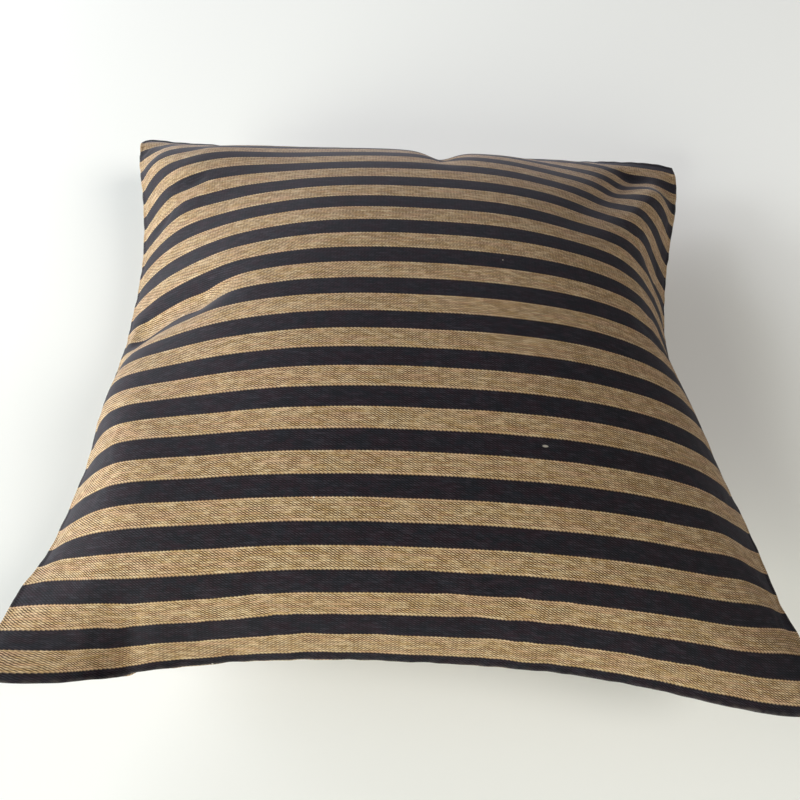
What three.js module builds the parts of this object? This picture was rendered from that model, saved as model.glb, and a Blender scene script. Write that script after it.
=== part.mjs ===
import * as THREE from 'three';

// A filled square cushion with a knife edge, lying on its back. Millimetres, +Z up.
// The origin is on the surface it rests on, under the middle of its outline.
// +Y runs from the near edge to the far edge, and +X to the right.
//
// Two flat square panels are sewn together round their edges and filled. A point of the cloth
// keeps its two flat measures, across and along, from the middle of its panel. The filling lifts
// it, and because woven cloth doesn't stretch, the lift shortens the panel seen from above:
// that is what draws the sides in between the four corner ears.

// Driving dimensions
const PANEL_WIDTH = 450;
const PANEL_DEPTH = 446;
const SEAM_HEIGHT = 58;
const UPPER_CROWN = 77;
const LOWER_CROWN = 78;
const FLAT_BLEND = 8;
const CORNER_BLUNTING = 5;

// How full the panel stays towards each edge: a higher number is a fuller, steeper side.
const FULLNESS = { left: 2.5, right: 2.7, near: 2.7, far: 2.45 };

// How far behind the middle the crown is highest, as a share of half the panel's depth.
const CREST_BEHIND_MIDDLE = 0.025;

// Each corner ear: which side it is on, how far it stands over the seam height, and how far the
// filling and handling have pulled its tip in plan.
const CORNERS = [
  { name: 'far left', side: -1, end: 1, rise: -12, shiftX: -1, shiftY: -15 },
  { name: 'far right', side: 1, end: 1, rise: -18, shiftX: 16, shiftY: 8 },
  { name: 'near left', side: -1, end: -1, rise: -5, shiftX: -3, shiftY: 10 },
  { name: 'near right', side: 1, end: -1, rise: 8, shiftX: 2, shiftY: 0 },
];

// The middle of each edge: its rise over the seam height, and how far it bows outwards.
const EDGES = {
  left: { rise: -4, bow: -2 },
  right: { rise: -8, bow: 4 },
  near: { rise: 10, bow: -5 },
  far: { rise: -5, bow: 15 },
};

// Soft ridges (height over 0) and troughs (under 0), each along a line on the flat cloth. A fold
// is strongest where it starts and fades towards its end. Its gather is how far the cloth beside
// it is drawn towards the line in plan, or pushed away from it (under 0).
const FOLDS = [
  { name: 'left tuck', from: [-195, 5], to: [-125, 10], width: 9, height: -12, gather: -2 },
  { name: 'slack over the tuck', from: [-195, 35], to: [-125, 50], width: 27, height: -5, gather: -2 },
  { name: 'left side roll', from: [-200, -55], to: [-150, -145], width: 27, height: 14, gather: 0 },
  { name: 'left side draw-in', from: [-255, -110], to: [-255, -60], width: 30, height: 0, gather: -4 },
  { name: 'near left hollow', from: [-130, -210], to: [-65, -215], width: 30, height: -12, gather: 2 },
  { name: 'near right pinch', from: [210, -165], to: [180, -115], width: 15, height: 0, gather: 3 },
  { name: 'right side sag', from: [215, 20], to: [205, 180], width: 34, height: -20, gather: -2 },
  { name: 'far right ridge', from: [195, 155], to: [160, 85], width: 15, height: 16, gather: 0 },
  { name: 'far right hollow', from: [180, 185], to: [110, 80], width: 10, height: -8, gather: 0 },
  { name: 'far right shoulder', from: [115, 180], to: [100, 90], width: 22, height: -3, gather: -4 },
  { name: 'far edge notch', from: [20, 225], to: [18, 135], width: 8, height: -11, gather: 1 },
  { name: 'far left shoulder', from: [-155, 155], to: [-180, 125], width: 33, height: 12, gather: 3 },
  { name: 'far left ridge', from: [-205, 160], to: [-170, 110], width: 18, height: 14, gather: 2 },
  { name: 'far left tip', from: [-230, 210], to: [-165, 165], width: 15, height: 12, gather: 0 },
];
const FOLD_FADE = 0.7;

// Fineness of the solid: steps across a panel, how much closer the steps are at the seam, and
// the step used to follow the cloth from the middle outwards.
const PANEL_STEPS = 40;
const SEAM_CROWDING = 0.2;
const FOLLOW_STEP = 2.5;
const SLOPE_STEP = 0.5;
const STEEPEST_SLOPE = 0.995;
const RIM_WIDTH = 35;
const BLUNTING_POWER = 20;

// Scales a bell curve's slope so that its strongest pull is exactly the gather.
const GATHER_PEAK = Math.exp(0.5);

const COVER_COLOUR = 0x645343;
const COVER_ROUGHNESS = 0.9;

const HALF_WIDTH = PANEL_WIDTH / 2;
const HALF_DEPTH = PANEL_DEPTH / 2;

// One direction of the crown: 1 at the crest and 0 at both seams.
function crownProfile(position, crest, lowSide, highSide) {
  const shifted = position + crest * (position * position - 1);
  const fullness = shifted < 0 ? lowSide : highSide;
  return 1 - Math.abs(shifted) ** fullness;
}

function crown(across, along) {
  const profileAcross = crownProfile(across / HALF_WIDTH, 0, FULLNESS.left, FULLNESS.right);
  const profileAlong = crownProfile(
    along / HALF_DEPTH,
    CREST_BEHIND_MIDDLE,
    FULLNESS.near,
    FULLNESS.far,
  );
  return profileAcross * profileAlong;
}

// How near a point is to one corner: 1 at its tip, falling to 0 at the opposite edges.
function cornerShare(corner, across, along) {
  return ((1 + corner.side * across / HALF_WIDTH) / 2) * ((1 + corner.end * along / HALF_DEPTH) / 2);
}

// How near a point is to the middle of each edge.
function edgeShares(across, along, power) {
  const s = THREE.MathUtils.clamp(across / HALF_WIDTH, -1, 1);
  const t = THREE.MathUtils.clamp(along / HALF_DEPTH, -1, 1);
  return {
    left: ((1 - s) / 2) ** power * (1 - t * t) ** (power / 2),
    right: ((1 + s) / 2) ** power * (1 - t * t) ** (power / 2),
    near: ((1 - t) / 2) ** power * (1 - s * s) ** (power / 2),
    far: ((1 + t) / 2) ** power * (1 - s * s) ** (power / 2),
  };
}

// The rise and fall that both panels share.
function seamRise(across, along) {
  const shares = edgeShares(across, along, 4);
  let rise = 0;
  for (const corner of CORNERS) {
    rise += corner.rise * cornerShare(corner, across, along) ** 2;
  }
  for (const edge of Object.keys(EDGES)) {
    rise += EDGES[edge].rise * shares[edge];
  }
  return rise;
}

// The rise of all folds at a point of the cloth, and how far they move it in plan.
function foldMove(across, along) {
  const move = { x: 0, y: 0, rise: 0 };
  for (const fold of FOLDS) {
    const runX = fold.to[0] - fold.from[0];
    const runY = fold.to[1] - fold.from[1];
    const free = ((across - fold.from[0]) * runX + (along - fold.from[1]) * runY) / (runX ** 2 + runY ** 2);
    const travelled = THREE.MathUtils.clamp(free, 0, 1);
    const offX = (across - fold.from[0] - travelled * runX) / fold.width;
    const offY = (along - fold.from[1] - travelled * runY) / fold.width;
    const strength = Math.exp(-(offX ** 2 + offY ** 2) / 2) * (1 - FOLD_FADE * travelled ** 2);
    move.rise += fold.height * strength;
    move.x -= fold.gather * GATHER_PEAK * offX * strength;
    move.y -= fold.gather * GATHER_PEAK * offY * strength;
  }
  return move;
}

// The upper panel without its folds.
function smoothRise(across, along) {
  return seamRise(across, along) + UPPER_CROWN * crown(across, along);
}

// The underside is pressed flat where it rests, with a soft turn at the rim of the flat.
function pressedFlat(height) {
  if (height > FLAT_BLEND) {
    return height;
  }
  if (height < -FLAT_BLEND) {
    return 0;
  }
  return (height + FLAT_BLEND) ** 2 / (4 * FLAT_BLEND);
}

// The folds run round the seam and fade out on the underside.
function lowerHeight(across, along, foldedBy) {
  const toSeam = Math.min(HALF_WIDTH - Math.abs(across), HALF_DEPTH - Math.abs(along));
  const rimShare = Math.exp(-((toSeam / RIM_WIDTH) ** 2));
  const drop = LOWER_CROWN * crown(across, along);
  return pressedFlat(SEAM_HEIGHT + seamRise(across, along) + foldedBy * rimShare - drop);
}

// Length in plan of a stretch of cloth of length step that lies at this slope.
function planStep(step, slope) {
  const held = Math.min(Math.abs(slope), STEEPEST_SLOPE);
  return step * Math.sqrt(1 - held * held);
}

// Follows the cloth from the middle line to a point and adds up its length in plan.
function planLength(distance, slopeAt) {
  const steps = Math.max(1, Math.round(Math.abs(distance) / FOLLOW_STEP));
  const step = distance / steps;
  let length = 0;
  for (let i = 0; i < steps; i += 1) {
    length += planStep(step, slopeAt((i + 0.5) * step));
  }
  return length;
}

// Where a point of the cloth lies in plan, before the folds move it.
function planPoint(across, along) {
  const slopeAcross = (u) => (
    (smoothRise(u + SLOPE_STEP, along) - smoothRise(u - SLOPE_STEP, along)) / (2 * SLOPE_STEP)
  );
  const slopeAlong = (v) => (
    (smoothRise(across, v + SLOPE_STEP) - smoothRise(across, v - SLOPE_STEP)) / (2 * SLOPE_STEP)
  );
  const shares = edgeShares(across, along, 2);
  let x = planLength(across, slopeAcross) + EDGES.right.bow * shares.right - EDGES.left.bow * shares.left;
  let y = planLength(along, slopeAlong) + EDGES.far.bow * shares.far - EDGES.near.bow * shares.near;
  for (const corner of CORNERS) {
    const pull = cornerShare(corner, across, along) ** 3;
    x += corner.shiftX * pull;
    y += corner.shiftY * pull;
  }
  const cornerNearness = Math.abs((across / HALF_WIDTH) * (along / HALF_DEPTH));
  const blunting = CORNER_BLUNTING * cornerNearness ** BLUNTING_POWER;
  return [x - Math.sign(across) * blunting, y - Math.sign(along) * blunting];
}

// Grid lines from -1 at one seam to 1 at the other, closer together towards the seams.
function gridLine(index) {
  const share = 2 * index / PANEL_STEPS - 1;
  return (1 + SEAM_CROWDING) * share - SEAM_CROWDING * share ** 3;
}

function cushionGeometry() {
  const positions = [];
  const upper = [];
  const lower = [];
  for (let row = 0; row <= PANEL_STEPS; row += 1) {
    upper.push([]);
    lower.push([]);
    for (let column = 0; column <= PANEL_STEPS; column += 1) {
      const across = HALF_WIDTH * gridLine(column);
      const along = HALF_DEPTH * gridLine(row);
      const [smoothX, smoothY] = planPoint(across, along);
      const folded = foldMove(across, along);
      const x = smoothX + folded.x;
      const y = smoothY + folded.y;
      const onSeam = [row, column].some((index) => index === 0 || index === PANEL_STEPS);
      upper[row].push(positions.length / 3);
      positions.push(x, y, SEAM_HEIGHT + smoothRise(across, along) + folded.rise);
      lower[row].push(onSeam ? upper[row][column] : positions.length / 3);
      if (!onSeam) {
        positions.push(x, y, lowerHeight(across, along, folded.rise));
      }
    }
  }

  const faces = [];
  for (let row = 0; row < PANEL_STEPS; row += 1) {
    for (let column = 0; column < PANEL_STEPS; column += 1) {
      const corners = (panel) => [
        panel[row][column],
        panel[row][column + 1],
        panel[row + 1][column + 1],
        panel[row + 1][column],
      ];
      const [a, b, c, d] = corners(upper);
      faces.push(a, b, c, a, c, d);
      const [e, f, g, h] = corners(lower);
      faces.push(e, g, f, e, h, g);
    }
  }

  const geometry = new THREE.BufferGeometry();
  geometry.setAttribute('position', new THREE.Float32BufferAttribute(positions, 3));
  geometry.setIndex(faces);
  geometry.computeBoundingBox();
  const middle = geometry.boundingBox.getCenter(new THREE.Vector3());
  geometry.translate(-middle.x, -middle.y, 0);
  geometry.computeVertexNormals();
  return geometry;
}

const cover = new THREE.MeshStandardMaterial({
  color: COVER_COLOUR,
  roughness: COVER_ROUGHNESS,
  metalness: 0,
});

const cushion = new THREE.Mesh(cushionGeometry(), cover);
cushion.name = 'cushion';

const stripedCushion = new THREE.Group();
stripedCushion.add(cushion);

export default stripedCushion;
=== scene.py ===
import math
from types import SimpleNamespace

import bpy
import numpy as np
from mathutils import Matrix, Vector


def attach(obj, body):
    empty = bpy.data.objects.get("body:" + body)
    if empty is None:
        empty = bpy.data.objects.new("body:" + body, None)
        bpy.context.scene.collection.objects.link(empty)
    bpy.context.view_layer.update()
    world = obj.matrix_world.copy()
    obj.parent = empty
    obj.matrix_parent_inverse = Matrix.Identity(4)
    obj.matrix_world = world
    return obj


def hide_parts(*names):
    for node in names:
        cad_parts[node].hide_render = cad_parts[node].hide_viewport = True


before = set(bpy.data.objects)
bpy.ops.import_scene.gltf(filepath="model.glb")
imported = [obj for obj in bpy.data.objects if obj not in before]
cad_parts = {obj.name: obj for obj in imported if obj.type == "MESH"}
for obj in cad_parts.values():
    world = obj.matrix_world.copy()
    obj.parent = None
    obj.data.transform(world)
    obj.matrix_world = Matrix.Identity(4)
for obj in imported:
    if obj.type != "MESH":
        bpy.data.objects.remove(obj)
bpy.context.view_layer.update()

# A filled square cushion with a knife edge, lying on its back. Its measures are millimetres, as
# on the drawing of the solid, and become metres in the mesh. A point of the cover keeps its two
# flat measures, across and along, from the middle of its panel. Woven cloth doesn't stretch, so
# the filling's lift shortens the panel seen from above.
#
# The upper crown, its crest and fullness, the corners, the edges, every main fold but the fourth,
# the stripes and the camera are rounded from least-squares fits to the stripes of the
# photographed cushion, with a few changes. The powers of the lights began as the result
# of another fit, and were then changed.
MM = 0.001

PANEL_WIDTH = 450
PANEL_DEPTH = 446
HALF_WIDTH = PANEL_WIDTH / 2
HALF_DEPTH = PANEL_DEPTH / 2
SEAM_HEIGHT = 58
UPPER_CROWN = 77
LOWER_CROWN = 78
# How full the panel stays towards each edge: a higher number is a fuller, steeper side
FULLNESS = {"left": 2.5, "right": 2.7, "near": 2.7, "far": 2.45}
# How far behind the middle the crown is highest, as a share of half the panel's depth
CREST_BEHIND_MIDDLE = 0.025

# Where the underside is pressed flat, it meets the floor in a soft bend of this height.
FLAT_BLEND = 8
# How far in from the seam the folds still show on the underside
RIM_WIDTH = 35
CORNER_BLUNTING = 5
BLUNTING_POWER = 20

# Corner ears: side, end, rise over the seam height, shift of the tip to the right and to the far
# side
CORNERS = [
    (-1, 1, -12, -1, -15),
    (1, 1, -18, 16, 8),
    (-1, -1, -5, -3, 10),
    (1, -1, 8, 2, 0),
]
CORNER_RISE_POWER = 2
CORNER_SHIFT_POWER = 3

# Middles of the edges: rise over the seam height, and how far the edge bows outwards
EDGES = {"left": (-4, -2), "right": (-8, 4), "near": (10, -5), "far": (-5, 15)}
EDGE_RISE_POWER = 4
EDGE_BOW_POWER = 2

# Folds that the solid has too: from across, from along, to across, to along, width, height,
# gather. A fold is strongest where it starts. Its gather is how far the cloth beside it is drawn
# towards its line in plan.
MAIN_FOLDS = [
    (-195, 5, -125, 10, 9, -12, -2),
    (-195, 35, -125, 50, 27, -5, -2),
    (-200, -55, -150, -145, 27, 14, 0),
    (-255, -110, -255, -60, 30, 0, -4),
    (-130, -210, -65, -215, 30, -12, 2),
    (210, -165, 180, -115, 15, 0, 3),
    (215, 20, 205, 180, 34, -20, -2),
    (195, 155, 160, 85, 15, 16, 0),
    (180, 185, 110, 80, 10, -8, 0),
    (115, 180, 100, 90, 22, -3, -4),
    (20, 225, 18, 135, 8, -11, 1),
    (-155, 155, -180, 125, 33, 12, 3),
    (-205, 160, -170, 110, 18, 14, 2),
    (-230, 210, -165, 165, 15, 12, 0),
]
# The smaller creases, which the solid leaves out, in the same columns. They are set one by one,
# but the crease and the dip of the near left ear lie near two rows that came from a fit.
FINE_FOLDS = [
    # left tuck, where it closes on the side
    (-138, 4, -126, 10, 8, -4, 2),
    # far left ear: its raised tip
    (-235, 230, -225, 222, 9, 6, 0),
    # near left ear: the crease across it, the swell beside it, the dip along it and its flare
    (-156, -225, -152, -180, 8, -8, 1),
    (-138, -230, -136, -185, 9, 3, 0),
    (-240, -197, -165, -201, 8, -4, 1),
    (-207, -230, -207, -180, 15, 0, -8),
    (-212, -150, -212, -160, 14, 0, 2),
]
FOLD_FADE = 0.7
# Scales a bell curve's slope so that its strongest pull is exactly the gather
GATHER_PEAK = math.exp(0.5)
# Cells of the mesh over which the folds are softened, so that no fold ends in a kink
FOLD_SOFTENING = 2

# Fineness of the mesh: steps across a panel, how much closer they are at the seam, and the steps
# and the steepest slope used to follow the cloth from the middle outwards
PANEL_STEPS = 208
SEAM_CROWDING = 0.27
FOLLOW_STEPS = 450
SLOPE_STEP = 0.5
STEEPEST_SLOPE = 0.995
# Least distance between the panels, except at the seam
LEAST_THICKNESS = 0.6
# Widths of the bell curve that count when a field is smoothed
BELL_REACH = 3

# Seam: the line of stitches sits in a groove between the rolled edges of the two panels, and
# its thread draws the cloth into small puckers.
GROOVE_DEPTH = 1.2
GROOVE_WIDTH = 0.9
ROLL_HEIGHT = 0.8
ROLL_AT = 2.4
ROLL_WIDTH = 1.4
PUCKER_HEIGHT = 0.15
PUCKER_REACH = 10
PUCKER_LENGTHS = (13, 21, 34)
STITCH_LENGTH = 3.0

# Cloth simulation of the cover at half the fineness. The drawing already holds the broad
# shape, so only a share of the creases it finds is kept, and a cap limits how far they move a
# point.
SIM_FRAMES = 20
SIM_PRESSURE = 4.0
SIM_MASS = 0.3
SIM_STIFFNESS = 15.0
SIM_SHEAR = 5.0
SIM_BENDING = 0.1
SIM_QUALITY = 5
BROAD_CELLS = 4
UPPER_CREASES = {"share": 0.35, "cap": 1.5}
LOWER_CREASES = {"share": 0.6, "cap": 3.0}
# Stands in for the size of a crease where there is none, so that it can be divided by
LEAST_CREASE = 1e-6

# Stripes: the width of one, how far nearer than the panel's middle the first dark one's middle
# lies, how far the weave makes its edges saw-toothed, and over how far it blurs them
STRIPE = 12.2
STRIPE_OFFSET = 222.3
STRIPE_TOOTH = 0.24
STRIPE_BLUR = 0.16

# Weave: the twill's repeat, how far the threads wander, how much each of its waves counts, and
# how much of a thread's tone belongs to each float, the stretch that lies on top
WEAVE_ACROSS = 2.1
WEAVE_ALONG = 1.22
DRIFT = 0.9
SWAY = 2.4
DIAGONAL_SHARE = 0.52
COUNTER_SHARE = 0.18
ROWS_SHARE = 0.3
FLOAT_SHARE = 0.3

# Noise on the cloth: length of its spots across and along, the slice it is taken from, detail
# and roughness. For slub, showing and blush the length along is in rows of thread, and so short
# that each row differs from the next.
NOISES = {
    "drift": (45, 45, 0.0, 2.0, 0.5),
    "sway": (30, 30, 4.7, 2.0, 0.5),
    "slub": (16, 0.19, 0.0, 3.0, 0.6),
    "showing": (7, 0.27, 9.2, 2.0, 0.5),
    "blush": (24, 0.31, 17.3, 1.0, 0.5),
    "mottle": (11, 7, 31.0, 3.0, 0.7),
    "scuffs": (5, 5, 2.1, 3.0, 0.5),
}

# Smooth ramps: the measure's low and high, and the share at each of them
RAMPS = {
    "dots": (-0.95, 0.5, 0.0, 1.0),
    "dots_showing": (0.3, 0.6, 0.65, 1.0),
    "dots_past_edge": (6.4, 7.3, 0.65, 1.0),
    "dark_stripe": (STRIPE / 2 - STRIPE_BLUR, STRIPE / 2 + STRIPE_BLUR, 1.0, 0.0),
    "tan_tone": (0.3, 0.7, 0.0, 1.0),
    "tan_blush": (0.42, 0.7, 0.0, 0.45),
    "black_mottle": (0.38, 0.62, 0.0, 1.0),
    "black_pale": (0.4, 0.75, 0.0, 0.6),
    "black_edge": (5.1, 6.0, 0.0, 0.5),
    "lint": (0.014, 0.03, 0.7, 0.0),
    "fleck": (0.3, 1.0, 0.5, 0.0),
    "rim": (1.0, 4.5, 0.14, 0.0),
    "scuffs": (0.35, 0.7, 0.0, 1.0),
    # painted shade in the groove of the seam, strongest at the stitches
    "groove": (0.2, 1.3, 0.55, 0.0),
    "stitch": (0.2, 0.9, 0.0, 1.0),
    "stitch_reach": (1.2, 3.2, 1.0, 0.0),
}

# Screen colours of 0 to 255
COLOURS = {
    "tan_warm": (188, 157, 112),
    "tan_pale": (218, 194, 158),
    "tan_blush": (206, 162, 136),
    "tan_dot": (50, 27, 10),
    "black_cool": (28, 31, 40),
    "black_warm": (43, 29, 39),
    "black_pale": (60, 56, 66),
    "black_edge": (46, 27, 24),
    "black_dot": (9, 7, 11),
    "lint": (205, 198, 190),
    "worn": (150, 141, 130),
    # painted shade in the groove of the seam
    "groove": (12, 10, 11),
    "floor": (243, 244, 246),
}

# Lint: one fleck in a cell of the cloth, in this share of the cells, and one larger fleck
LINT_CELL = (26, 20)
LINT_SHARE = 0.1
FLECK_AT = (67, -99)
FLECK_SIZE = (2.0, 0.8)

# Relief of the cloth in the bump, and its strength
WEAVE_RELIEF = -0.5
SLUB_RELIEF = 0.6
STITCH_RELIEF = -1.2
BUMP_STRENGTH = 0.4
BUMP_HEIGHT = 0.15

# Camera, with its place in metres and its turns in radians
EYE = (-0.0308, -0.2478, 0.4375)
YAW = 0.084
PITCH = 1.065
ROLL = 0.113
FOCAL_SHARE = 653 / 800
SENSOR_MM = 36.0
CLIP_START = 0.01

# Lights, all aimed at the cushion from the same distance: name, azimuth from +X and elevation in
# degrees, power in watts, tint
LIGHTS = [
    ("window", 180, 10, 215, (0.97, 1.0, 0.98)),
    ("window_far_side", 140, 15, 125, (0.93, 0.95, 1.0)),
    ("near_fill", 235, 15, 160, (0.97, 1.0, 0.84)),
    ("right_fill", -20, 45, 80, (1.0, 0.95, 0.85)),
]
LIGHT_AIM = (0, 0, 0.05)
LIGHT_DISTANCE = 4.0
LIGHT_SIZE = 2.2
WORLD_TINT = (0.93, 0.96, 1.0, 1.0)
WORLD_STRENGTH = 0.05

# Floor, in metres: how far it reaches, and how far under the cushion it lies
FLOOR_REACH = 12.0
FLOOR_GAP = 0.0003
FLOOR_ROUGHNESS = 0.6


def crown_profile(position, crest, low_side, high_side):
    shifted = position + crest * (position**2 - 1)
    fullness = np.where(shifted < 0, low_side, high_side)
    return 1 - np.abs(shifted) ** fullness


def crown(across, along):
    profile_across = crown_profile(across / HALF_WIDTH, 0, FULLNESS["left"], FULLNESS["right"])
    profile_along = crown_profile(
        along / HALF_DEPTH, CREST_BEHIND_MIDDLE, FULLNESS["near"], FULLNESS["far"]
    )
    return profile_across * profile_along


def corner_share(side, end, across, along):
    return ((1 + side * across / HALF_WIDTH) / 2) * ((1 + end * along / HALF_DEPTH) / 2)


def edge_shares(across, along, power):
    s = np.clip(across / HALF_WIDTH, -1, 1)
    t = np.clip(along / HALF_DEPTH, -1, 1)
    return {
        "left": ((1 - s) / 2) ** power * (1 - t * t) ** (power / 2),
        "right": ((1 + s) / 2) ** power * (1 - t * t) ** (power / 2),
        "near": ((1 - t) / 2) ** power * (1 - s * s) ** (power / 2),
        "far": ((1 + t) / 2) ** power * (1 - s * s) ** (power / 2),
    }


def seam_rise(across, along):
    shares = edge_shares(across, along, EDGE_RISE_POWER)
    rise = 0.0
    for side, end, corner_rise, _, _ in CORNERS:
        rise = rise + corner_rise * corner_share(side, end, across, along) ** CORNER_RISE_POWER
    for edge, (edge_rise, _) in EDGES.items():
        rise = rise + edge_rise * shares[edge]
    return rise


def smooth_rise(across, along):
    """Rise of the upper panel over the seam height, without its folds."""
    return seam_rise(across, along) + UPPER_CROWN * crown(across, along)


def broad_part(field, cells):
    """The field smoothed over some cells of its grid."""
    offsets = np.arange(-BELL_REACH * cells, BELL_REACH * cells + 1)
    weights = np.exp(-((offsets / cells) ** 2) / 2)
    weights /= weights.sum()
    for axis in (0, 1):
        count = field.shape[axis]
        smoothed = np.zeros_like(field)
        for offset, weight in zip(offsets, weights):
            rows = np.clip(np.arange(count) + offset, 0, count - 1)
            smoothed += weight * np.take(field, rows, axis=axis)
        field = smoothed
    return field


def fold_move(folds, across, along):
    """Rise of the folds, and how far they move the cloth in plan."""
    rise = np.zeros_like(across)
    move_x = np.zeros_like(across)
    move_y = np.zeros_like(across)
    for from_x, from_y, to_x, to_y, width, height, gather in folds:
        run_x, run_y = to_x - from_x, to_y - from_y
        free = ((across - from_x) * run_x + (along - from_y) * run_y) / (run_x**2 + run_y**2)
        travelled = np.clip(free, 0, 1)
        off_x = (across - from_x - travelled * run_x) / width
        off_y = (along - from_y - travelled * run_y) / width
        strength = np.exp(-(off_x**2 + off_y**2) / 2) * (1 - FOLD_FADE * travelled**2)
        rise += height * strength
        move_x -= gather * GATHER_PEAK * off_x * strength
        move_y -= gather * GATHER_PEAK * off_y * strength
    return [broad_part(field, FOLD_SOFTENING) for field in (rise, move_x, move_y)]


def seam_distances(across, along):
    """How far in a point lies from the seams at the sides and from those at the ends."""
    return HALF_WIDTH - np.abs(across), HALF_DEPTH - np.abs(along)


def pressed_flat(height):
    soft = (height + FLAT_BLEND) ** 2 / (4 * FLAT_BLEND)
    return np.where(height > FLAT_BLEND, height, np.where(height < -FLAT_BLEND, 0, soft))


def lower_height(across, along, folded_by):
    """Height of the underside. The folds run round the seam and fade out on it."""
    to_seam = np.minimum(*seam_distances(across, along))
    rim_share = np.exp(-((to_seam / RIM_WIDTH) ** 2))
    drop = LOWER_CROWN * crown(across, along)
    return pressed_flat(SEAM_HEIGHT + seam_rise(across, along) + folded_by * rim_share - drop)


def plan_lengths(targets, half_length, rise_at):
    """Length in plan of the cloth from its middle line to each target, for one grid line."""
    step = half_length / FOLLOW_STEPS
    middles = (np.arange(FOLLOW_STEPS) + 0.5) * step
    marks = np.arange(FOLLOW_STEPS + 1) * step
    lengths = np.zeros_like(targets)
    for sign in (-1, 1):
        places = sign * middles
        slope = (rise_at(places + SLOPE_STEP) - rise_at(places - SLOPE_STEP)) / (2 * SLOPE_STEP)
        slope = np.minimum(np.abs(slope), STEEPEST_SLOPE)
        total = np.concatenate(([0.0], np.cumsum(step * np.sqrt(1 - slope**2))))
        mine = targets * sign > 0
        lengths[mine] = sign * np.interp(np.abs(targets[mine]), marks, total)
    return lengths


def plan_grid(lines_across, lines_along):
    """Where each point of the cloth lies in plan before the folds move it."""
    across, along = np.meshgrid(lines_across, lines_along)
    x = np.empty_like(across)
    y = np.empty_like(across)
    for row, v in enumerate(lines_along):
        x[row] = plan_lengths(
            lines_across, HALF_WIDTH, lambda u: smooth_rise(u, np.full_like(u, v))
        )
    for column, u in enumerate(lines_across):
        y[:, column] = plan_lengths(
            lines_along, HALF_DEPTH, lambda v: smooth_rise(np.full_like(v, u), v)
        )

    shares = edge_shares(across, along, EDGE_BOW_POWER)
    x += EDGES["right"][1] * shares["right"] - EDGES["left"][1] * shares["left"]
    y += EDGES["far"][1] * shares["far"] - EDGES["near"][1] * shares["near"]
    for side, end, _, shift_x, shift_y in CORNERS:
        pull = corner_share(side, end, across, along) ** CORNER_SHIFT_POWER
        x += shift_x * pull
        y += shift_y * pull
    nearness = np.abs((across / HALF_WIDTH) * (along / HALF_DEPTH))
    blunting = CORNER_BLUNTING * nearness**BLUNTING_POWER
    return across, along, x - np.sign(across) * blunting, y - np.sign(along) * blunting


def grid_lines(half_length, steps):
    share = np.linspace(-1, 1, steps + 1)
    return half_length * ((1 + SEAM_CROWDING) * share - SEAM_CROWDING * share**3)


def close_seam(upper, lower):
    """Keeps the panels from crossing, and joins their edges."""
    lower[..., 2] = np.minimum(lower[..., 2], upper[..., 2] - LEAST_THICKNESS)
    for edge in (np.s_[0], np.s_[-1], np.s_[:, 0], np.s_[:, -1]):
        lower[edge] = upper[edge]


def cushion_shape(steps):
    """Both panels as grids of points, in millimetres, with their flat measures."""
    lines_across = grid_lines(HALF_WIDTH, steps)
    lines_along = grid_lines(HALF_DEPTH, steps)
    across, along, x, y = plan_grid(lines_across, lines_along)
    rise, move_x, move_y = fold_move(MAIN_FOLDS, across, along)
    x += move_x
    y += move_y
    # The solid is drawn round the middle of this plan, so the creases come after it.
    x -= (x.min() + x.max()) / 2
    y -= (y.min() + y.max()) / 2
    fine_rise, move_x, move_y = fold_move(FINE_FOLDS, across, along)
    rise += fine_rise
    x += move_x
    y += move_y
    upper = np.stack([x, y, SEAM_HEIGHT + smooth_rise(across, along) + rise], axis=-1)
    lower = np.stack([x, y, lower_height(across, along, rise)], axis=-1)
    close_seam(upper, lower)
    return across, along, upper, lower


def outward(grid):
    """Unit normals of a panel's grid, upwards for the upper panel's order of points."""
    normal = np.cross(np.gradient(grid, axis=1), np.gradient(grid, axis=0))
    return normal / np.linalg.norm(normal, axis=-1, keepdims=True)


def ripple(run):
    """Uneven waves along a seam."""
    return sum(np.sin(2 * np.pi * run / length + length) for length in PUCKER_LENGTHS)


def sew_seam(across, along, upper, lower):
    """Adds the groove, the rolled edges and the puckers of the seam."""
    to_side, to_end = seam_distances(across, along)
    to_seam = np.minimum(to_side, to_end)
    roll = ROLL_HEIGHT * np.exp(-(((to_seam - ROLL_AT) / ROLL_WIDTH) ** 2))
    pucker = PUCKER_HEIGHT * (
        ripple(along) * np.exp(-to_side / PUCKER_REACH)
        + ripple(across) * np.exp(-to_end / PUCKER_REACH)
    )
    swell = (roll + pucker)[..., None]
    inward = -(upper[..., :2] / np.linalg.norm(upper[..., :2], axis=-1, keepdims=True))
    groove = (GROOVE_DEPTH * np.exp(-((to_seam / GROOVE_WIDTH) ** 2)))[..., None]
    for grid, side in ((upper, 1), (lower, -1)):
        grid += side * swell * outward(grid)
        grid[..., :2] += groove * inward
    lower[..., 2] = np.maximum(lower[..., 2], 0)
    close_seam(upper, lower)


def inside_seam(shape):
    """Marks the points of a panel's grid that aren't on the seam."""
    inner = np.zeros(shape, bool)
    inner[1:-1, 1:-1] = True
    return inner


def quads(index):
    """The four corners of each cell of a grid of point numbers."""
    return np.stack(
        [index[:-1, :-1], index[:-1, 1:], index[1:, 1:], index[1:, :-1]], axis=-1
    ).reshape(-1, 4)


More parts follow.
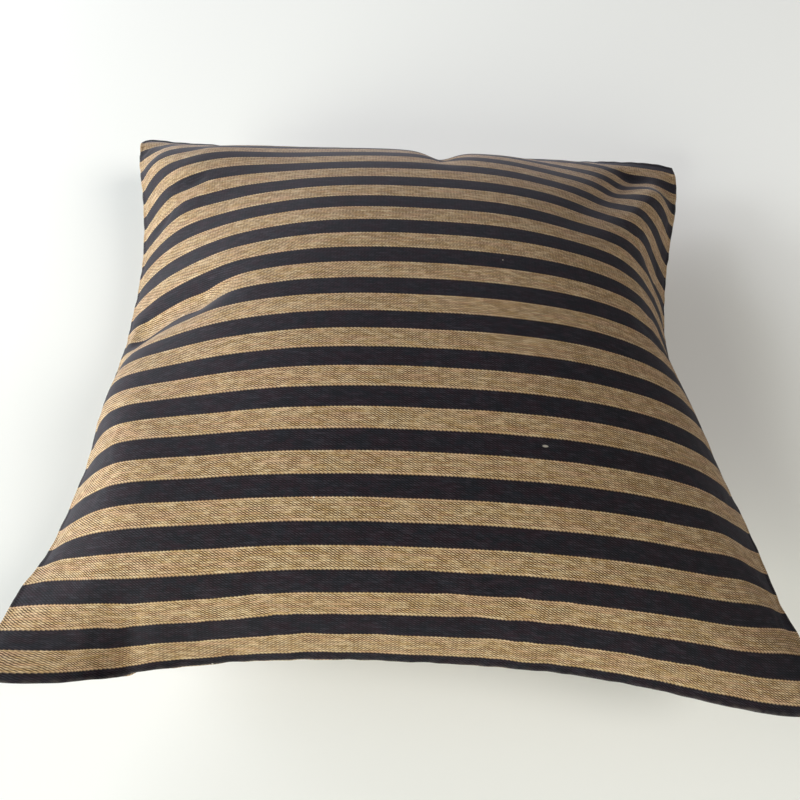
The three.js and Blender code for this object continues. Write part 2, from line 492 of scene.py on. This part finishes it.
def cushion_mesh(name, across, along, upper, lower):
    """One closed mesh of both panels, sharing the points of the seam."""
    inner = inside_seam(across.shape)
    upper_index = np.arange(across.size).reshape(across.shape)
    lower_index = upper_index.copy()
    lower_index[inner] = across.size + np.arange(inner.sum())
    points = np.concatenate([upper.reshape(-1, 3), lower[inner]]) * MM
    upper_quads = quads(upper_index)
    faces = np.concatenate([upper_quads, quads(lower_index)[:, ::-1]])

    mesh = bpy.data.meshes.new(name)
    mesh.vertices.add(len(points))
    mesh.vertices.foreach_set("co", points.ravel())
    mesh.loops.add(faces.size)
    mesh.loops.foreach_set("vertex_index", faces.ravel().astype(np.int32))
    mesh.polygons.add(len(faces))
    mesh.polygons.foreach_set("loop_start", np.arange(0, faces.size, 4, dtype=np.int32))
    mesh.update(calc_edges=True)

    # The underside panel is cut one stripe further along the cloth than the upper one.
    flat = np.stack([across, along], axis=-1).reshape(-1, 2)
    panel = np.concatenate([flat[upper_quads], flat[upper_quads[:, ::-1]]])
    cloth = panel.copy()
    cloth[len(upper_quads):, :, 1] += STRIPE
    for layer_name, values in (("cloth", cloth), ("panel", panel)):
        layer = mesh.uv_layers.new(name=layer_name)
        layer.uv.foreach_set("vector", values.astype(np.float32).ravel())
    mesh.polygons.foreach_set("use_smooth", np.ones(len(faces), bool))
    return mesh


def at_double_fineness(field):
    """The field with a point added between each two, on a cubic through the nearest four."""
    for axis in (0, 1):
        field = np.moveaxis(field, axis, 0)
        wide = np.concatenate([field[:1], field, field[-1:]])
        between = (9 * (wide[1:-2] + wide[2:-1]) - wide[:-3] - wide[3:]) / 16
        finer = np.empty((2 * len(field) - 1, *field.shape[1:]))
        finer[::2] = field
        finer[1::2] = between
        field = np.moveaxis(finer, 0, axis)
    return field


def creases_kept(moved, share, cap):
    crease = share * (moved - broad_part(moved, BROAD_CELLS))
    size = np.maximum(np.linalg.norm(crease, axis=-1, keepdims=True), LEAST_CREASE)
    return at_double_fineness(crease * cap * np.tanh(size / cap) / size)


def set_up_cloth(cover, cut):
    modifier = cover.modifiers.new("cloth", "CLOTH")
    cloth = modifier.settings
    cloth.rest_shape_key = cut
    cloth.quality = SIM_QUALITY
    cloth.mass = SIM_MASS
    cloth.tension_stiffness = SIM_STIFFNESS
    cloth.compression_stiffness = SIM_STIFFNESS
    cloth.shear_stiffness = SIM_SHEAR
    cloth.bending_stiffness = SIM_BENDING
    cloth.use_pressure = True
    cloth.uniform_pressure_force = SIM_PRESSURE
    cloth.effector_weights.gravity = 0
    modifier.collision_settings.use_collision = False
    modifier.point_cache.frame_start = 1
    modifier.point_cache.frame_end = SIM_FRAMES


def blown_points(cover):
    """The cover's points after the simulation, in millimetres."""
    for frame_number in range(1, SIM_FRAMES + 1):
        bpy.context.scene.frame_set(frame_number)
    evaluated = cover.evaluated_get(bpy.context.evaluated_depsgraph_get())
    blown = evaluated.to_mesh()
    points = np.empty(len(blown.vertices) * 3, np.float32)
    blown.vertices.foreach_get("co", points)
    evaluated.to_mesh_clear()
    return points.reshape(-1, 3).astype(float) / MM


def simulate_creases(across, along, upper, lower):
    """Blows the cover up as cloth that is cut flat, and adds the creases that appear."""
    coarse = np.s_[::2, ::2]
    across, along = across[coarse], along[coarse]
    inner = inside_seam(across.shape)
    mesh = cushion_mesh("cover_at_work", across, along, upper[coarse], lower[coarse])
    cover = bpy.data.objects.new("cover_at_work", mesh)
    bpy.context.scene.collection.objects.link(cover)
    cover.shape_key_add(name="filled")
    cut = cover.shape_key_add(name="cut")
    flat = np.stack([across, along, np.zeros_like(across)], axis=-1)
    flat_points = np.concatenate([flat.reshape(-1, 3), flat[inner]]) * MM
    cut.data.foreach_set("co", flat_points.astype(np.float32).ravel())
    set_up_cloth(cover, cut)

    before = np.concatenate([upper[coarse].reshape(-1, 3), lower[coarse][inner]])
    moved = blown_points(cover) - before
    bpy.data.objects.remove(cover)
    bpy.data.meshes.remove(mesh)
    bpy.context.scene.frame_set(1)

    moved_upper = moved[: across.size].reshape(*across.shape, 3)
    moved_lower = moved_upper.copy()
    moved_lower[inner] = moved[across.size :]
    upper += creases_kept(moved_upper, **UPPER_CREASES)
    lower += creases_kept(moved_lower, **LOWER_CREASES)
    lower[..., 2] = np.maximum(lower[..., 2], 0)
    close_seam(upper, lower)


class Tree:
    """Short ways to add nodes to a material."""

    def __init__(self, material):
        material.use_nodes = True
        self.nodes = material.node_tree.nodes
        self.links = material.node_tree.links
        self.nodes.clear()

    def add(self, kind, inputs, **settings):
        node = self.nodes.new(kind)
        for key, value in settings.items():
            setattr(node, key, value)
        for key, value in inputs.items():
            self.feed(node.inputs[key], value)
        return node

    def feed(self, socket, value):
        if isinstance(value, bpy.types.NodeSocket):
            self.links.new(value, socket)
        else:
            socket.default_value = value

    def math(self, operation, *values):
        return self.add("ShaderNodeMath", dict(enumerate(values)), operation=operation).outputs[0]

    def ramp(self, name, value):
        low, high, at_low, at_high = RAMPS[name]
        span = {"From Min": low, "From Max": high, "To Min": at_low, "To Max": at_high}
        node = self.add(
            "ShaderNodeMapRange", {"Value": value, **span}, interpolation_type="SMOOTHSTEP"
        )
        return node.outputs[0]

    def mix(self, factor, first, second):
        # Inputs 6 and 7 and output 2 are the colours, among sockets that share their names.
        colours = {"Factor": factor, 6: first, 7: second}
        return self.add("ShaderNodeMix", colours, data_type="RGBA").outputs[2]

    def point(self, x, y, z=0.0):
        return self.add("ShaderNodeCombineXYZ", {"X": x, "Y": y, "Z": z}).outputs[0]

    def spread(self, u, v, length_u, length_v, layer=0.0):
        """A point for noise whose spots are about these lengths across."""
        return self.point(
            self.math("DIVIDE", u, length_u), self.math("DIVIDE", v, length_v), layer
        )

    def noise(self, name, u, v):
        length_u, length_v, layer, detail, roughness = NOISES[name]
        place = self.spread(u, v, length_u, length_v, layer)
        node = self.add(
            "ShaderNodeTexNoise",
            {"Vector": place, "Scale": 1.0, "Detail": detail, "Roughness": roughness},
        )
        return node.outputs["Fac"]

    def wander(self, value, name, reach, u, v):
        """The value moved by noise, up to half the reach either way."""
        offset = self.math("MULTIPLY_ADD", self.noise(name, u, v), reach, -reach / 2)
        return self.math("ADD", value, offset)

    def flat_measures(self, layer_name):
        """The two flat measures that the mesh keeps in one of its layers."""
        layer = self.add("ShaderNodeUVMap", {}, uv_map=layer_name).outputs[0]
        parts = self.add("ShaderNodeSeparateXYZ", {"Vector": layer})
        return parts.outputs["X"], parts.outputs["Y"]


def colour(name):
    """A named screen colour as the linear colour that a shader takes."""
    linear = []
    for part in COLOURS[name]:
        share = part / 255
        linear.append(share / 12.92 if share <= 0.04045 else ((share + 0.055) / 1.055) ** 2.4)
    return (*linear, 1.0)


def twill(tree, flat_u, flat_v):
    """The threads at a point of the flat cloth: their places, waves and tones."""
    v = tree.wander(flat_v, "drift", DRIFT, flat_u, flat_v)
    u = tree.wander(flat_u, "sway", SWAY, flat_u, flat_v)
    turn_u = tree.math("MULTIPLY", u, 2 * math.pi / WEAVE_ACROSS)
    turn_v = tree.math("MULTIPLY", v, 2 * math.pi / WEAVE_ALONG)
    diagonal = tree.math("COSINE", tree.math("ADD", turn_u, turn_v))
    counter = tree.math("COSINE", tree.math("SUBTRACT", turn_u, turn_v))
    rows = tree.math("COSINE", turn_v)
    weave = tree.math("MULTIPLY", diagonal, DIAGONAL_SHARE)
    weave = tree.math("MULTIPLY_ADD", counter, COUNTER_SHARE, weave)
    weave = tree.math("MULTIPLY_ADD", rows, ROWS_SHARE, weave)

    # Each row of threads has its own tone and shows its dark warp dots more or less.
    row = tree.math("FLOOR", tree.math("DIVIDE", v, WEAVE_ALONG))
    slub = tree.noise("slub", u, row)
    showing = tree.ramp("dots_showing", tree.noise("showing", u, row))
    dots = tree.math("MULTIPLY", tree.ramp("dots", weave), showing)

    # Each float also has its own tone.
    turns = tree.math("DIVIDE", tree.math("ADD", turn_u, turn_v), 2 * math.pi)
    float_cell = tree.point(tree.math("ROUND", turns), row)
    float_tone = tree.add(
        "ShaderNodeTexWhiteNoise", {"Vector": float_cell}, noise_dimensions="2D"
    ).outputs["Value"]
    row_tone = tree.math("MULTIPLY", slub, 1 - FLOAT_SHARE)
    tone = tree.math("MULTIPLY_ADD", float_tone, FLOAT_SHARE, row_tone)
    return SimpleNamespace(
        u=u, v=v, row=row, diagonal=diagonal, weave=weave, slub=slub, dots=dots, tone=tone
    )


def tan_threads(tree, threads, to_middle):
    """Tan cloth. The first thread past the edge of a stripe lies on top, so its dots are faint."""
    tan_tone = tree.ramp("tan_tone", threads.tone)
    tan = tree.mix(tan_tone, colour("tan_warm"), colour("tan_pale"))
    blush = tree.ramp("tan_blush", tree.noise("blush", threads.u, threads.row))
    tan = tree.mix(blush, tan, colour("tan_blush"))
    dots = tree.math("MULTIPLY", threads.dots, tree.ramp("dots_past_edge", to_middle))
    return tree.mix(dots, tan, colour("tan_dot"))


def black_threads(tree, threads, to_middle):
    mottle = tree.ramp("black_mottle", tree.noise("mottle", threads.u, threads.v))
    black = tree.mix(mottle, colour("black_cool"), colour("black_warm"))
    black = tree.mix(tree.ramp("black_pale", threads.tone), black, colour("black_pale"))
    black = tree.mix(tree.ramp("black_edge", to_middle), black, colour("black_edge"))
    return tree.mix(threads.dots, black, colour("black_dot"))


def stripes(tree, threads):
    """Tan and black stripes, with edges saw-toothed by the weave."""
    to_middle = tree.math("PINGPONG", tree.math("ADD", threads.v, STRIPE_OFFSET), STRIPE)
    toothed = tree.math("MULTIPLY_ADD", threads.diagonal, STRIPE_TOOTH, to_middle)
    tan = tan_threads(tree, threads, to_middle)
    black = black_threads(tree, threads, to_middle)
    return tree.mix(tree.ramp("dark_stripe", toothed), tan, black)


def lint(tree, flat_u, flat_v):
    """Small pale flecks caught in the weave, and one larger one."""
    cells = tree.add(
        "ShaderNodeTexVoronoi",
        {"Vector": tree.spread(flat_u, flat_v, *LINT_CELL), "Scale": 1.0},
    )
    chance = tree.add("ShaderNodeSeparateXYZ", {"Vector": cells.outputs["Color"]}).outputs["X"]
    kept = tree.math("GREATER_THAN", chance, 1 - LINT_SHARE)
    small = tree.math("MULTIPLY", tree.ramp("lint", cells.outputs["Distance"]), kept)
    off_u = tree.math("DIVIDE", tree.math("SUBTRACT", flat_u, FLECK_AT[0]), FLECK_SIZE[0])
    off_v = tree.math("DIVIDE", tree.math("SUBTRACT", flat_v, FLECK_AT[1]), FLECK_SIZE[1])
    away = tree.math("MULTIPLY_ADD", off_u, off_u, tree.math("MULTIPLY", off_v, off_v))
    return tree.math("MAXIMUM", small, tree.ramp("fleck", away))


def seam_marks(tree, base):
    """The base with its worn rim and painted shade in the groove, and the dimples of the stitches.
    """
    panel_u, panel_v = tree.flat_measures("panel")
    to_side = tree.math("SUBTRACT", HALF_WIDTH, tree.math("ABSOLUTE", panel_u))
    to_end = tree.math("SUBTRACT", HALF_DEPTH, tree.math("ABSOLUTE", panel_v))
    to_seam = tree.math("MINIMUM", to_side, to_end)
    scuffs = tree.ramp("scuffs", tree.noise("scuffs", panel_u, panel_v))
    worn = tree.math("MULTIPLY", tree.ramp("rim", to_seam), scuffs)
    base = tree.mix(worn, base, colour("worn"))
    # Painted shade darkens the groove of the seam.
    base = tree.mix(tree.ramp("groove", to_seam), base, colour("groove"))

    on_side = tree.math("LESS_THAN", to_side, to_end)
    run = tree.math("MULTIPLY", on_side, tree.math("SUBTRACT", panel_v, panel_u))
    run = tree.math("ADD", run, panel_u)
    stitch = tree.math("COSINE", tree.math("MULTIPLY", run, 2 * math.pi / STITCH_LENGTH))
    reach = tree.ramp("stitch_reach", to_seam)
    return base, tree.math("MULTIPLY", tree.ramp("stitch", stitch), reach)


def striped_cotton():
    material = bpy.data.materials.new("striped_cotton")
    tree = Tree(material)
    flat_u, flat_v = tree.flat_measures("cloth")
    threads = twill(tree, flat_u, flat_v)
    base = tree.mix(lint(tree, flat_u, flat_v), stripes(tree, threads), colour("lint"))
    base, dimples = seam_marks(tree, base)

    relief = tree.math("MULTIPLY", threads.weave, WEAVE_RELIEF)
    relief = tree.math("MULTIPLY_ADD", threads.slub, SLUB_RELIEF, relief)
    relief = tree.math("MULTIPLY_ADD", dimples, STITCH_RELIEF, relief)
    bump = tree.add(
        "ShaderNodeBump",
        {"Strength": BUMP_STRENGTH, "Distance": BUMP_HEIGHT * MM, "Height": relief},
    ).outputs[0]

    shader = tree.add(
        "ShaderNodeBsdfPrincipled",
        {
            "Base Color": base,
            "Roughness": 0.85,
            "Specular IOR Level": 0.12,
            "Sheen Weight": 0.12,
            "Sheen Roughness": 0.45,
            "Sheen Tint": (0.88, 0.86, 1.0, 1.0),
            "Normal": bump,
        },
    )
    tree.add("ShaderNodeOutputMaterial", {"Surface": shader.outputs[0]})
    return material


def pale_floor():
    material = bpy.data.materials.new("pale_floor")
    tree = Tree(material)
    shader = tree.add(
        "ShaderNodeBsdfPrincipled", {"Base Color": colour("floor"), "Roughness": FLOOR_ROUGHNESS}
    )
    tree.add("ShaderNodeOutputMaterial", {"Surface": shader.outputs[0]})
    return material


def make_cushion():
    across, along, upper, lower = cushion_shape(PANEL_STEPS)
    simulate_creases(across, along, upper, lower)
    sew_seam(across, along, upper, lower)
    mesh = cushion_mesh("striped_cushion", across, along, upper, lower)
    mesh.materials.append(striped_cotton())
    cushion = bpy.data.objects.new("striped_cushion", mesh)
    bpy.context.scene.collection.objects.link(cushion)
    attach(cushion, "root")
    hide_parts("cushion")


def make_floor():
    mesh = bpy.data.meshes.new("floor")
    reach = FLOOR_REACH
    corners = [(-reach, -reach, 0), (reach, -reach, 0), (reach, reach, 0), (-reach, reach, 0)]
    mesh.from_pydata(corners, [], [(0, 1, 2, 3)])
    mesh.materials.append(pale_floor())
    floor = bpy.data.objects.new("floor", mesh)
    floor.location.z = -FLOOR_GAP
    bpy.context.scene.collection.objects.link(floor)


def make_lights():
    for name, azimuth, elevation, power, tint in LIGHTS:
        turn, tilt = math.radians(azimuth), math.radians(elevation)
        toward = Vector(
            (math.cos(tilt) * math.cos(turn), math.cos(tilt) * math.sin(turn), math.sin(tilt))
        )
        data = bpy.data.lights.new(name, "AREA")
        data.shape = "DISK"
        data.size = LIGHT_SIZE
        data.energy = power
        data.color = tint
        light = bpy.data.objects.new(name, data)
        light.location = Vector(LIGHT_AIM) + toward * LIGHT_DISTANCE
        light.rotation_euler = toward.to_track_quat("Z", "Y").to_euler()
        bpy.context.scene.collection.objects.link(light)


def make_world():
    world = bpy.data.worlds.new("studio")
    world.use_nodes = True
    background = world.node_tree.nodes["Background"]
    background.inputs["Color"].default_value = WORLD_TINT
    background.inputs["Strength"].default_value = WORLD_STRENGTH
    bpy.context.scene.world = world
    bpy.context.scene.view_settings.view_transform = "Standard"


def make_camera():
    forward = Vector(
        (math.sin(YAW) * math.cos(PITCH), math.cos(YAW) * math.cos(PITCH), -math.sin(PITCH))
    )
    level_right = Vector((math.cos(YAW), -math.sin(YAW), 0))
    level_up = level_right.cross(forward)
    right = level_right * math.cos(ROLL) + level_up * math.sin(ROLL)
    up = level_up * math.cos(ROLL) - level_right * math.sin(ROLL)
    data = bpy.data.cameras.new("camera")
    data.sensor_fit = "HORIZONTAL"
    data.sensor_width = SENSOR_MM
    data.lens = SENSOR_MM * FOCAL_SHARE
    data.clip_start = CLIP_START
    camera = bpy.data.objects.new("camera", data)
    axes = Matrix((right, up, -forward)).transposed()
    camera.matrix_world = Matrix.Translation(Vector(EYE)) @ axes.to_4x4()
    bpy.context.scene.collection.objects.link(camera)
    bpy.context.scene.camera = camera


make_camera()
make_cushion()
make_floor()
make_lights()
make_world()
